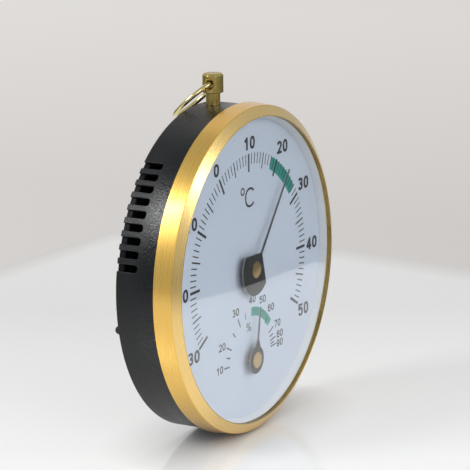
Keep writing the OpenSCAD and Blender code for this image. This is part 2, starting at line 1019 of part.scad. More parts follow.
// Hanging ring of bent wire, threaded through the stud, with its butt joint at the far side
module hanging_ring() {
    color([0.78, 0.7, 0.42])
        upright()
            on_hanger()
                rotate(stud_turn)
                    translate([0, 0, hole_y])
                        rotate([-ring_tilt, 0, 0])
                            translate([0, ring_r - wire_rise / 2, 0])
                                rotate(90 + ring_joint_gap / 2)
                                    rotate_extrude(angle = 360 - ring_joint_gap)
                                        translate([ring_r, 0])
                                            circle(wire_r);
}

case();
back_cover();
cover_screws();
rear_feet();
bezel();
glass();
glass_seat_ring();
spacer_ring();
dial_plate();
movement_plate();
thermo_bush();
hygro_bush();
bush_nuts();
thermo_pillars();
thermo_bridge();
thermo_bridge_screws();
thermo_rear_bush();
thermo_spiral_post();
thermo_spiral();
thermo_collet();
thermo_staff();
thermo_pointer();
thermo_pointer_boss();
hygro_pillars();
hygro_bridge();
hygro_bridge_screws();
hygro_adjuster();
hygro_spiral_post();
hygro_spiral();
hygro_collet();
hygro_staff();
hygro_pointer();
hygro_pointer_boss();
hanger_stud();
hanger_washer();
hanger_nut();
hanging_ring();
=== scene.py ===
import math

import bmesh
import bpy
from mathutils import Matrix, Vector


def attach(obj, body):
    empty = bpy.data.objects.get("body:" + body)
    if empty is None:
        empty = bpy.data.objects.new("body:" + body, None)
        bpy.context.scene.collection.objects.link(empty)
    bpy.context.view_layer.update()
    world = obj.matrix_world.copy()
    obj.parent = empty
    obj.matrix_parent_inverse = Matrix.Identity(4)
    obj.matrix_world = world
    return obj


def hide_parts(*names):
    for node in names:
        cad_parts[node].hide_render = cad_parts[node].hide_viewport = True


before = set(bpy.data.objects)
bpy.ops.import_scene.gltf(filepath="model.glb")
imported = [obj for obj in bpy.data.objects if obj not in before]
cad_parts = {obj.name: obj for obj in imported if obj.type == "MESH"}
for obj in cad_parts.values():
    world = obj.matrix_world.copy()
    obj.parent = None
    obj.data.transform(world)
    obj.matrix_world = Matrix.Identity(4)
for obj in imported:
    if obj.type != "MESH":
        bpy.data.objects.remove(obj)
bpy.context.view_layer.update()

# Moulded case
# A black thermoplastic tube, injection moulded with a fine spark-eroded grain. It has a ledge
# for the dial, a groove for the bezel's bead and, at the rear edge, nine air slots on each side.
case_r = 50.0
case_inner_r = 48.5
case_front_z = 18.1
rim_r = 49.3
band_r = 49.55
step_z = 12.9
dial_seat_z = 15.5
ledge_rear_z = 13.1
ledge_r = 44.7
seat_r = 47.7
groove_z = 13.5
groove_w = 0.8
groove_depth = 0.4
cover_shelf_z = 2.0
meet_z = 8.6
slot_count = 9
slot_first = 10.7
slot_pitch = 4.6
slot_w = 2.15
slot_len = 6.8
slot_corner = 0.7
wall_rows = (0.0, 1.0, cover_shelf_z, 3.2, 4.6, 6.1, 7.3, meet_z)
mid_wall_z = 11.0
front_chamfer = 0.3
arc_step = 1.5
boss_angles = (25.0, 155.0, 205.0, 335.0)
boss_r = 44.9
boss_d = 6.0
boss_rear_z = 2.0
boss_front_z = ledge_rear_z + 0.25
web_far_r = case_inner_r + 0.7
pad_half = 5.0
pad_t = 2.0
black_plastic = (0.0015, 0.002, 0.003)
grain_depth = 0.16
dull_from, dull_to = -0.0105, -0.0045
rear_dulling = 0.16
crease_turn = math.radians(35.0)
edge_turn = math.radians(38.0)
noise_low, noise_high = 0.3, 0.7


def dial_point(x, y, z):
    """A point x to the right, y up and z forward of the back, in mm, as a point of the row."""
    return Vector((x, -z, y)) / 1000


def clock(radius, angle):
    """The x and y of a point at an angle in degrees clockwise from the top."""
    turn = math.radians(angle)
    return radius * math.sin(turn), radius * math.cos(turn)


def joined(shapes):
    """Several shapes, each as (points, faces), as one."""
    points, faces = [], []
    for more_points, more_faces in shapes:
        faces += [[i + len(points) for i in face] for face in more_faces]
        points += more_points
    return points, faces


def add_solid(name, points, faces):
    """A closed shape from points in mm, with its faces turned outwards."""
    mesh = bpy.data.meshes.new(name)
    mesh.from_pydata([dial_point(*p) for p in points], [], faces)
    shape = bmesh.new()
    shape.from_mesh(mesh)
    bmesh.ops.recalc_face_normals(shape, faces=shape.faces)
    shape.to_mesh(mesh)
    shape.free()
    solid = bpy.data.objects.new(name, mesh)
    bpy.context.scene.collection.objects.link(solid)
    return solid


def add_piece(name, points, faces, body, slot, finish, nodes=()):
    """Builds one piece from points in mm and puts it on its body, in place of its CAD nodes."""
    piece = add_solid(name, points, faces)
    piece.data.shade_smooth()
    piece.data.set_sharp_from_angle(angle=crease_turn)
    piece.data.materials.append(finish)
    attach(piece, body)
    if nodes:
        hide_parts(*nodes)
    return piece


def soften(piece, width):
    """Rounds the piece's sharp edges by a width in mm and keeps its broad faces flat."""
    bevel = piece.modifiers.new("rounded_edges", "BEVEL")
    bevel.width = width / 1000
    bevel.segments = 2
    bevel.limit_method = "ANGLE"
    bevel.angle_limit = edge_turn
    bevel.harden_normals = False
    keep_flat(piece)


def keep_flat(piece):
    """Keeps a piece's broad faces flat to the eye, next to its small roundings."""
    even = piece.modifiers.new("even_faces", "WEIGHTED_NORMAL")
    even.keep_sharp = True


def add_node(tree, kind, inputs=(), **settings):
    """Adds one material node, whose inputs are values or the sockets that feed them."""
    made = tree.nodes.new("ShaderNode" + kind)
    for key, value in settings.items():
        setattr(made, key, value)
    for key, value in dict(inputs).items():
        if isinstance(value, bpy.types.NodeSocket):
            tree.links.new(value, made.inputs[key])
        else:
            made.inputs[key].default_value = value
    return made


def new_finish(name, **values):
    """A material with its plain shader values, and the tree and shader to build on."""
    finish = bpy.data.materials.new(name)
    finish.use_nodes = True
    tree = finish.node_tree
    shader = tree.nodes["Principled BSDF"]
    for key, value in values.items():
        shader.inputs[key.replace("_", " ")].default_value = value
    return finish, tree, shader


def on_piece(tree):
    """The place on a piece, which moves along with it."""
    return add_node(tree, "TexCoord").outputs["Object"]


def grain(tree, place, size, detail=3.0, rough=0.6):
    """Noise whose features have about that size in mm."""
    return add_node(tree, "TexNoise", {"Vector": place, "Scale": 1000 / size, "Detail": detail,
                                       "Roughness": rough}).outputs["Fac"]


def ramp(tree, value, start, end, low=0.0, high=1.0):
    """Maps a value from start to end on low to high, and holds it beyond them."""
    return add_node(tree, "MapRange", {"Value": value, "From Min": start, "From Max": end,
                                       "To Min": low, "To Max": high}).outputs["Result"]


def blend_colour(tree, pattern, first, second):
    """Mixes two colours, or the sockets that give them, by a pattern."""
    first, second = [(*c, 1) if isinstance(c, tuple) else c for c in (first, second)]
    return add_node(tree, "Mix", {0: pattern, 6: first, 7: second}, data_type="RGBA").outputs[2]


def worked(tree, how, first, second):
    """A sum, a product or the like of two values, or of the sockets that give them."""
    return add_node(tree, "Math", {0: first, 1: second}, operation=how).outputs[0]


def tint(tree, shader, pattern, first, second):
    """Colours a surface in two tones, mixed by a pattern."""
    tree.links.new(blend_colour(tree, pattern, first, second), shader.inputs["Base Color"])


def vary_shine(tree, shader, pattern, low, high):
    """Lets a surface's roughness follow a noise."""
    shine = ramp(tree, pattern, noise_low, noise_high, low, high)
    tree.links.new(shine, shader.inputs["Roughness"])


def emboss(tree, shader, pattern, strength, depth):
    """Raises a pattern from a surface, by a depth in mm."""
    bump = add_node(tree, "Bump", {"Height": pattern, "Strength": strength,
                                   "Distance": depth / 1000})
    tree.links.new(bump.outputs["Normal"], shader.inputs["Normal"])


def moulded(name, colour, grain_mm, gloss, relief=0.35, bend=1.43):
    """Textured moulded plastic: fine grain, slight unevenness in tone and shine."""
    finish, tree, shader = new_finish(name, IOR=bend)
    place = on_piece(tree)
    fine = grain(tree, place, grain_mm, 1.0, 0.5)
    light = tuple(min(1, c * 1.25 + 0.001) for c in colour)
    tint(tree, shader, grain(tree, place, 14.0, 2.0), colour, light)
    vary_shine(tree, shader, fine, gloss - 0.05, gloss + 0.07)
    emboss(tree, shader, fine, relief, grain_depth)
    return finish


def slot_outline():
    """The U of one slot as (sideways, z), with its partner on the U half way to the next slot."""
    half, reach = slot_w / 2, slot_pitch / 2
    side = [(half, z, reach, z) for z in wall_rows[:5]]
    partners = [(reach, z) for z in wall_rows[5:]] + [(0.6 * reach, meet_z), (0.3 * reach, meet_z)]
    for i, (far, z) in enumerate(partners):
        turn = math.radians(90 * i / (len(partners) - 1))
        side.append((half - slot_corner + slot_corner * math.cos(turn),
                     slot_len - slot_corner + slot_corner * math.sin(turn), far, z))
    return ([(-x, z, -far, far_z) for x, z, far, far_z in side] + [(0.0, slot_len, 0.0, meet_z)]
            + side[::-1])


def aside(x, radius):
    """How many degrees a place lies beside another, x mm off, on a radius."""
    return math.degrees(math.asin(x / radius))


def case_mesh():
    """Wall, ledge and slots, from corners of (radius, angle, z) that meeting faces share."""
    points, faces, known = [], [], {}

    def face(*corners):
        made = []
        for radius, angle, z in corners:
            key = (round(radius, 3), round(angle % 360, 3) % 360, round(z, 3))
            if key not in known:
                known[key] = len(points)
                points.append((*clock(radius, angle), z))
            made.append(known[key])
        faces.append(made)

    centres = sorted((side * (90 - slot_first - i * slot_pitch)) % 360
                     for side in (1, -1) for i in range(slot_count))
    tops = []
    for k, centre in enumerate(centres):
        outline = slot_outline()
        for (x0, z0, far0, far_z0), (x1, z1, far1, far_z1) in zip(outline, outline[1:]):
            low = max(z0, z1) <= cover_shelf_z
            inner = rim_r if low else case_inner_r
            for radius in (case_r, inner):
                face((radius, centre + aside(x0, radius), z0),
                     (radius, centre + aside(x1, radius), z1),
                     (radius, centre + far1, far_z1), (radius, centre + far0, far_z0))
            near = [(radius, centre + aside(x, radius), z) for radius, x, z in
                    ((case_r, x0, z0), (case_r, x1, z1), (inner, x1, z1), (inner, x0, z0))]
            if cover_shelf_z in (z0, z1) and not low:
                x, z, place = (x0, z0, 4) if z0 == cover_shelf_z else (x1, z1, 2)
                near.insert(place, (rim_r, centre + aside(x, rim_r), z))
            face(*near)
        for side in (-1, 1):
            out, mid, deep = [centre + side * aside(slot_w / 2, radius)
                              for radius in (case_r, rim_r, case_inner_r)]
            far = centre + side * slot_pitch / 2
            face((case_r, out, 0), (case_r, far, 0), (rim_r, far, 0), (rim_r, mid, 0))
            face((rim_r, mid, cover_shelf_z), (rim_r, far, cover_shelf_z),
                 (case_inner_r, far, cover_shelf_z), (case_inner_r, deep, cover_shelf_z))
        tops += [centre + far for x, z, far, far_z in outline if far_z == meet_z]
        gap = (centres[(k + 1) % len(centres)] - centre) % 360 - slot_pitch
        steps = round(gap / arc_step)
        angles = [centre + slot_pitch / 2 + gap * i / max(1, steps) for i in range(steps + 1)]
        tops += angles[1:-1]
        for a, b in zip(angles, angles[1:]) if steps else ():
            for z0, z1 in zip(wall_rows, wall_rows[1:]):
                for radius in (case_r, rim_r if z1 <= cover_shelf_z else case_inner_r):
                    face((radius, a, z0), (radius, b, z0), (radius, b, z1), (radius, a, z1))
            for outer, inner, z in ((case_r, rim_r, 0), (rim_r, case_inner_r, cover_shelf_z)):
                face((outer, a, z), (outer, b, z), (inner, b, z), (inner, a, z))
    front = [(case_r, meet_z), (case_r, mid_wall_z), (case_r, step_z), (band_r, step_z),
             (band_r, groove_z), (band_r - groove_depth, groove_z),
             (band_r - groove_depth, groove_z + groove_w), (band_r, groove_z + groove_w),
             (band_r, case_front_z - front_chamfer), (band_r - front_chamfer, case_front_z),
             (seat_r, case_front_z),
             (seat_r, dial_seat_z), (ledge_r, dial_seat_z), (ledge_r, ledge_rear_z),
             (case_inner_r, ledge_rear_z), (case_inner_r, meet_z)]
    for a, b in zip(tops, tops[1:] + tops[:1]):
        for (r0, z0), (r1, z1) in zip(front, front[1:]) if abs(a - b) > 1e-6 else ():
            face((r0, a, z0), (r0, b, z0), (r1, b, z1), (r1, a, z1))
    return points, faces


def prism(outline, z0, z1):
    """A straight prism over an outline of (x, y), as (points, faces)."""
    count = len(outline)
    points = [(x, y, z) for z in (z0, z1) for x, y in outline]
    sides = [(i, (i + 1) % count, count + (i + 1) % count, count + i) for i in range(count)]
    return points, [range(count), range(count, 2 * count), *sides]


def post(x, y, radius, z0, z1, sides=40):
    """A round post between two heights."""
    circle = [clock(radius, 360 * i / sides) for i in range(sides)]
    return prism([(x + dx, y + dy) for dx, dy in circle], z0, z1)


def turned_by(angle, outline):
    """An outline of (x, y), turned clockwise about the dial's middle."""
    c, s = math.cos(math.radians(angle)), math.sin(math.radians(angle))
    return [(x * c + y * s, y * c - x * s) for x, y in outline]


def block(angle, half, near, far, z0, z1):
    """A block that stands along a spoke of the dial."""
    return prism(turned_by(angle, [(-half, near), (half, near), (half, far), (-half, far)]), z0, z1)


case_finish = moulded("black_case_plastic", black_plastic, 0.5, 0.24, 0.6)
tree = case_finish.node_tree
roughness = tree.nodes["Principled BSDF"].inputs["Roughness"]
depth = add_node(tree, "SeparateXYZ", {"Vector": on_piece(tree)}).outputs["Y"]
tree.links.new(worked(tree, "ADD", roughness.links[0].from_socket,
                      ramp(tree, depth, dull_from, dull_to, 0.0, rear_dulling)), roughness)
shapes = [case_mesh()]
for angle in boss_angles:
    shapes += [post(*clock(boss_r, angle), boss_d / 2, boss_rear_z, boss_front_z),
               block(angle, boss_d / 4, boss_r, web_far_r, boss_rear_z, boss_front_z)]
shapes.append(block(0, pad_half, case_inner_r - pad_t, web_far_r, boss_rear_z, boss_front_z))
soften(add_piece("moulded_case", *joined(shapes), "instrument", "case_plastic", case_finish,
                 ["case"]), 0.2)

# Back cover
# A flat moulded disc of the same plastic, a little coarser in grain. It drops into the rear of
# the case and is held by four countersunk screws; a round hole gives a screwdriver the adjuster.
cover_r = 49.2
cover_t = 2.0
cover_edge = 0.3
screw_hole_r = 1.1
screw_sink_r = 2.7
screw_head_h = 1.1
hygro_drop = 28.5
adjuster_hole_r = 2.4
cut_rear_z, cut_front_z = -0.5, 2.5
straight_half = math.radians(85)
corner_share = 0.45


def rounded(profile, radius, steps=3):
    """Rounds the corners of a closed profile of (r, z); a corner on the axis stays sharp."""
    made = []
    for i, corner in enumerate(profile):
        here = Vector(corner)
        back = Vector(profile[i - 1]) - here
        on = Vector(profile[(i + 1) % len(profile)]) - here
        half = back.angle(on) / 2
        if here.x < 1e-6 or half > straight_half:
            made.append(tuple(here))
            continue
        reach = min(radius / math.tan(half), back.length * corner_share, on.length * corner_share)
        start, end = here + back.normalized() * reach, here + on.normalized() * reach
        for k in range(steps + 1):
            t = k / steps
            made.append(tuple((1 - t) ** 2 * start + 2 * t * (1 - t) * here + t * t * end))
    return made


def turned(profile, x=0.0, y=0.0, sides=192):
    """Turns a closed profile of (r, z) about an axis through x, y."""
    points, faces, rings = [], [], []
    for r, z in profile:
        if r < 1e-6:
            rings.append([len(points)] * sides)
            points.append((x, y, z))
        else:
            rings.append(list(range(len(points), len(points) + sides)))
            for i in range(sides):
                dx, dy = clock(r, 360 * i / sides)
                points.append((x + dx, y + dy, z))
    for a, b in zip(rings, rings[1:] + rings[:1]):
        if a[0] == a[1] and b[0] == b[1]:
            continue
        for i in range(sides):
            j = (i + 1) % sides
            corners = dict.fromkeys((a[i], a[j], b[j], b[i]))
            if len(corners) > 2:
                faces.append(list(corners))
    return points, faces


def cut_out(piece, *cutters):
    """Cuts shapes, as (points, faces) in mm, out of a piece for good."""
    tools = [add_solid("cutter", points, faces) for points, faces in cutters]
    for tool in tools:
        cut = piece.modifiers.new("cut", "BOOLEAN")
        cut.operation = "DIFFERENCE"
        cut.solver = "EXACT"
        cut.object = tool
    bpy.context.view_layer.update()
    seen = piece.evaluated_get(bpy.context.evaluated_depsgraph_get())
    mesh = bpy.data.meshes.new_from_object(seen)
    piece.modifiers.clear()
    piece.data = mesh
    for tool in tools:
        bpy.data.objects.remove(tool)
    mesh.set_sharp_from_angle(angle=crease_turn)


cover_finish = moulded("cover_plastic_grain", black_plastic, 0.35, 0.5, bend=1.25)
cover_profile = [(0, 0), (cover_r, 0), (cover_r, cover_t), (0, cover_t)]
cover_piece = add_piece("cover_disc", *turned(rounded(cover_profile, cover_edge)), "instrument",
                        "cover_plastic", cover_finish, ["back_cover"])
adjuster_hole = [(0, cut_rear_z), (adjuster_hole_r, cut_rear_z), (adjuster_hole_r, cut_front_z),
                 (0, cut_front_z)]
screw_hole = [(0, cut_rear_z), (screw_sink_r, cut_rear_z), (screw_hole_r, screw_head_h),
              (screw_hole_r, cut_front_z), (0, cut_front_z)]
cut_out(cover_piece, turned(adjuster_hole, 0, -hygro_drop, 64),
        *[turned(screw_hole, *clock(boss_r, angle), 48) for angle in boss_angles])
soften(cover_piece, 0.12)

# Cover screws
# Four small countersunk screws with a cross recess, of plain bright steel. They go through the
# cover into the bosses of the case.
steel_tone = (0.56, 0.57, 0.58)


def brushed(name, colour, rough):
    """Plain worked metal: fine scratches along one way and a slight unevenness in shine."""
    finish, tree, shader = new_finish(name, Metallic=1.0)
    place = on_piece(tree)
    pulled = add_node(tree, "Mapping", {"Vector": place, "Scale": (1.0, 0.12, 1.0)}).outputs[0]
    streak = grain(tree, pulled, 0.12, 2.0)
    tint(tree, shader, grain(tree, place, 2.5, 2.0), tuple(c * 0.82 for c in colour), colour)
    vary_shine(tree, shader, streak, rough - 0.06, rough + 0.08)
    emboss(tree, shader, streak, 0.15, 0.03)
    return finish


def dress(finish, slot, *nodes):
    """Gives CAD nodes a finish."""
    for name in nodes:
        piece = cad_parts[name]
        piece.data.materials.clear()
        piece.data.materials.append(finish)


steel_finish = brushed("bright_steel", steel_tone, 0.32)
dress(steel_finish, "steel", "cover_screws")

# Rear feet
# Three small buttons of soft black rubber, which keep the back off the wall. Each is moulded with
# a plug that is pressed in the cover.
foot_d = 2.8
foot_h = 2.1
foot_r = 47.7
foot_angles = (0, 102.5, 257.5)
plug_h = 1.2
plug_r = foot_d / 4
foot_rise = 0.02
rubber_deep = (0.012, 0.012, 0.013)
rubber_bloom = (0.024, 0.024, 0.026)

rubber_finish, tree, shader = new_finish("black_foot_rubber", IOR=1.5)
bloom = grain(tree, on_piece(tree), 0.9, 3.0)
tint(tree, shader, bloom, rubber_deep, rubber_bloom)
vary_shine(tree, shader, bloom, 0.62, 0.8)
emboss(tree, shader, grain(tree, on_piece(tree), 0.1, 2.0), 0.3, 0.03)

foot_profile = rounded([(0, plug_h), (plug_r, plug_h), (plug_r, -foot_rise),
                        (foot_d / 2, -foot_rise), (foot_d / 2, -foot_h * 0.4),
                        (foot_d * 0.42, -foot_h * 0.78), (foot_d * 0.28, -foot_h), (0, -foot_h)],
                       0.18)
add_piece("foot_buttons", *joined(turned(foot_profile, *clock(foot_r, angle), 48)
                                  for angle in foot_angles),
          "instrument", "foot_rubber", rubber_finish, ["rear_feet"])

# Bezel
# A spun and turned aluminium ring, fine-brushed round its axis and anodised gold. It snaps over
# the case with a small bead and holds the glass behind its lip.
bezel_in_r = 49.6
bezel_rear_r = 50.85
bezel_front_r = 50.3
bezel_z = 13.1
crease_z = 18.85
front_z = 20.7
lip_r = 47.0
lip_z = 19.85
pocket_z = 18.2
bead_z = 13.6
bead_w = 0.6
bead_h = 0.35
gold_light = (0.92, 0.60, 0.17)
gold_deep = (0.83, 0.48, 0.075)
# A dark gold, painted shade on the lip's inner wall and the inner edge of the seat ring.
lip_painted_shade = (0.46, 0.31, 0.085)
# A paler gold, a painted highlight on the front bevel.
bevel_painted_highlight = (0.97, 0.67, 0.25)
lip_shade_from, lip_shade_to = 0.0471, 0.04735
bevel_highlight_from, bevel_highlight_to = 0.05, 0.0502


def axis_reach(tree, y=0.0):
    """The vector from an axis at height y along the dial's, its length and the place along it."""
    split = add_node(tree, "SeparateXYZ", {"Vector": on_piece(tree)}).outputs
    up = worked(tree, "SUBTRACT", split["Z"], y / 1000)
    flat = add_node(tree, "CombineXYZ", {"X": split["X"], "Z": up}).outputs[0]
    reach = add_node(tree, "VectorMath", {0: flat}, operation="LENGTH").outputs["Value"]
    return flat, reach, split["Y"]


def lathe_lines(tree, line_mm, y=0.0):
    """Fine lines that run round such an axis, as left by brushing on a lathe."""
    flat, reach, along = axis_reach(tree, y)
    spoke = add_node(tree, "VectorMath", {0: flat}, operation="NORMALIZE").outputs["Vector"]
    slow = add_node(tree, "VectorMath", {0: spoke, 1: (3.0, 3.0, 3.0)}, operation="MULTIPLY")
    depth = worked(tree, "MULTIPLY", along, 1000 / line_mm)
    shift = add_node(tree, "CombineXYZ", {"Y": depth}).outputs[0]
    where = add_node(tree, "VectorMath", {0: slow.outputs["Vector"], 1: shift}, operation="ADD")
    return add_node(tree, "TexNoise", {"Vector": where.outputs["Vector"],
                                       "W": worked(tree, "MULTIPLY", reach, 1000 / line_mm),
                                       "Scale": 1.0, "Detail": 2.0},
                    noise_dimensions="4D").outputs["Fac"]


gold_finish, tree, shader = new_finish("gold_anodised", Metallic=1.0, Anisotropic=0.4,
                                        Coat_Weight=0.45, Coat_Roughness=0.14, Coat_IOR=1.5)
lines = lathe_lines(tree, 0.11)
reach = axis_reach(tree)[1]
# The front bevel gets a paler gold: a painted highlight.
gold = blend_colour(tree, ramp(tree, reach, bevel_highlight_from, bevel_highlight_to), bevel_painted_highlight,
                    blend_colour(tree, lines, gold_deep, gold_light))
# Inside the lip's radius the gold turns dark: painted shade on the lip's inner wall and just beside
# it.
tint(tree, shader, ramp(tree, reach, lip_shade_from, lip_shade_to), lip_painted_shade, gold)
vary_shine(tree, shader, lines, 0.23, 0.30)
emboss(tree, shader, lines, 0.12, 0.02)
around_axis = add_node(tree, "Tangent", direction_type="RADIAL", axis="Y")
tree.links.new(around_axis.outputs["Tangent"], shader.inputs["Tangent"])

bezel_profile = [(bezel_in_r, bezel_z), (bezel_rear_r, bezel_z), (bezel_front_r, crease_z),
                 (lip_r, front_z), (lip_r, lip_z), (seat_r, lip_z), (seat_r, pocket_z),
                 (bezel_in_r, pocket_z), (bezel_in_r, bead_z + bead_w),
                 (bezel_in_r - bead_h, bead_z + bead_w * 0.7),
                 (bezel_in_r - bead_h, bead_z + bead_w * 0.3), (bezel_in_r, bead_z)]
keep_flat(add_piece("gold_bezel", *turned(rounded(bezel_profile, 0.14), sides=288), "instrument",
                    "gold_aluminium", gold_finish, ["bezel"]))

# Window
# A flat disc of clear float glass with ground edges. It lies on the gold seat ring and is held by
# the bezel's lip, with a film of air on either side.
glass_r = 47.6
glass_z = 19.05
glass_t = 0.8
air_film = 0.02
glass_tone = (0.99, 0.995, 0.995, 1)
glass_shade = (0.93, 0.94, 0.94, 1)

glass_finish, tree, shader = new_finish("clear_glass", Transmission_Weight=1.0, IOR=1.5,
                                        Roughness=0.0, Base_Color=glass_tone)
lamp_ray = add_node(tree, "LightPath").outputs["Is Shadow Ray"]
let_by = add_node(tree, "BsdfTransparent", {"Color": glass_shade}).outputs[0]
shown = add_node(tree, "MixShader", {0: lamp_ray, 1: shader.outputs[0], 2: let_by}).outputs[0]
tree.links.new(shown, tree.nodes["Material Output"].inputs["Surface"])

glass_rear_z, glass_front_z = glass_z + air_film, glass_z + glass_t - air_film
glass_profile = [(0, glass_rear_z), (glass_r, glass_rear_z), (glass_r, glass_front_z),
                 (0, glass_front_z)]
keep_flat(add_piece("window_glass", *turned(rounded(glass_profile, 0.08), sides=256), "instrument",
                    "window_glass", glass_finish, ["glass"]))

# Seat ring of the glass
# A thin ring turned from the same gold aluminium. It lies loose on the spacer, under the glass,
# and hides the spacer's front edge.
seat_ring_z = 18.5
seat_profile = [(lip_r, seat_ring_z), (glass_r, seat_ring_z), (glass_r, glass_z), (lip_r, glass_z)]
add_piece("glass_seat", *turned(rounded(seat_profile, 0.06), sides=256), "instrument",
          "gold_aluminium", gold_finish, ["glass_seat_ring"])

# Spacer ring
# A ring moulded in white plastic. It stands on the dial's rim, where it keeps the glass clear of
# the pointers, and widens towards the dial.
dial_z = 16.3
spacer_foot_r = 46.0
spacer_white = (0.86, 0.90, 0.96)

white_finish = moulded("white_spacer_plastic", spacer_white, 0.3, 0.4)
spacer_profile = [(spacer_foot_r, dial_z), (glass_r, dial_z), (glass_r, seat_ring_z),
                  (lip_r - 0.1, seat_ring_z)]
add_piece("white_spacer", *turned(rounded(spacer_profile, 0.1), sides=256), "instrument",
          "white_plastic", white_finish, ["spacer_ring"])

# Dial plate
# A thin aluminium disc with a pale bluish white stoved paint, smooth with a satin shine. It lies
# on the case's ledge, under the spacer.
paint_light = (0.71, 0.785, 0.92)
paint_deep = (0.68, 0.755, 0.89)

dial_finish, tree, shader = new_finish("dial_stoved_paint", IOR=1.48)
cloud = grain(tree, on_piece(tree), 18.0, 2.0)
tint(tree, shader, cloud, paint_deep, paint_light)
vary_shine(tree, shader, cloud, 0.4, 0.5)
emboss(tree, shader, grain(tree, on_piece(tree), 0.5, 2.0), 0.08, 0.02)
dress(dial_finish, "dial_paint", "dial_plate")

# Temperature scale
# Screen printed in black on the dial: a tick for each degree, longer for fives and heavy for
# tens, over a teal comfort band from 18 to 28 degrees. Ten degrees stands at the top.
scale_r = 35.75
top_temperature = 10
degree_turn = 3.0
ink_t = 0.02
band_t = 0.012
ink_rear_z = dial_z - 0.01
tick_kinds = {10: (0.843, 0.84), 5: (0.862, 0.50), 1: (0.905, 0.37)}
comfort_from, comfort_to = 18, 28
comfort_near, comfort_far = 0.88 * scale_r, 0.99 * scale_r
print_black = (0.008, 0.009, 0.013)
print_teal = (0.010, 0.33, 0.265)
print_grey = (0.028, 0.03, 0.038)


def ink(name, colour, thin):
    """Screen ink: satin, with the slight mottle of a thin print."""
    finish, tree, shader = new_finish(name, IOR=1.35)
    mottle = grain(tree, on_piece(tree), 0.6, 3.0)
    tint(tree, shader, mottle, colour, tuple(c + thin for c in colour))
    vary_shine(tree, shader, mottle, 0.42, 0.58)
    return finish


def printed_bar(angle, width, near, far, drop=0.0):
    """A printed bar along a spoke of the dial, as (points, faces)."""
    points, faces = block(angle, width / 2, near, far, ink_rear_z, dial_z + ink_t)
    return [(x, y - drop, z) for x, y, z in points], faces


def printed_band(first, last, near, far, x=0.0, y=0.0, thick=band_t):
    """A printed arc between two angles, as (points, faces)."""
    steps = max(4, round((last - first) / arc_step))
    points, faces = [], []
    for i in range(steps + 1):
        angle = first + (last - first) * i / steps
        for radius in (near, far):
            dx, dy = clock(radius, angle)
            points += [(x + dx, y + dy, ink_rear_z), (x + dx, y + dy, dial_z + thick)]
    for a in range(0, 4 * steps, 4):
        faces += [(a + 1, a + 3, a + 7, a + 5), (a, a + 4, a + 6, a + 2),
                  (a, a + 1, a + 5, a + 4), (a + 2, a + 6, a + 7, a + 3)]
    a = 4 * steps
    faces += [(0, 2, 3, 1), (a, a + 1, a + 3, a + 2)]
    return points, faces


def add_print(name, shapes, finish):
    """One printed piece from several shapes."""
    return add_piece(name, *joined(shapes), "instrument", "dial_paint", finish)


def temperature_angle(degrees):
    """The clockwise angle at which a temperature stands."""
    return (degrees - top_temperature) * degree_turn


black_ink = ink("black_print", print_black, 0.007)
teal_ink = ink("teal_print", print_teal, 0.03)
grey_ink = ink("grey_print", print_grey, 0.015)

ticks = []
for temperature in range(-30, 51):
    near, width = tick_kinds[next(step for step in (10, 5, 1) if temperature % step == 0)]
    ticks.append(printed_bar(temperature_angle(temperature), width, near * scale_r, scale_r))
add_print("temperature_ticks", ticks, black_ink)
add_print("temperature_comfort_band",
          [printed_band(temperature_angle(comfort_from), temperature_angle(comfort_to),
                        comfort_near, comfort_far)], teal_ink)

# Temperature numerals
# Bold upright figures outside the ticks, and the sign for degrees Celsius inside them. Each figure
# is drawn as strokes in a box of height 1, which stand a little apart so that none share a face.
numeral_h = 4.0
numeral_pitch = 0.92
minus_pitch = 0.83
bold = (0.255, 0.21)
stroke_rise = 0.002
celsius_x, celsius_y = 0.5, 22.2
celsius_h = 6.1
celsius_weight = (0.115, 0.11)
degree_x, degree_y = -3.9, 24.7
degree_in, degree_out = 0.76, 1.24
temperature_figures = [("-30", -34.2, -19.65), ("-20", -40.3, 0.1), ("-10", -34.6, 20.4),
                       ("0", -19.6, 34.0), ("10", 0.5, 38.9), ("20", 21.3, 34.4),
                       ("30", 35.0, 20.4), ("40", 40.6, -0.1), ("50", 34.7, -20.5)]


def arc(x, y, wide, high, first, last, steps=14):
    """Points on an arc with a slightly square shoulder; angles turn left from the right."""
    made = []
    for i in range(steps + 1):
        turn = math.radians(first + (last - first) * i / steps)
        c, s = math.cos(turn), math.sin(turn)
        made.append((x + wide * math.copysign(abs(c) ** 0.88, c),
                     y + high * math.copysign(abs(s) ** 0.88, s)))
    return made


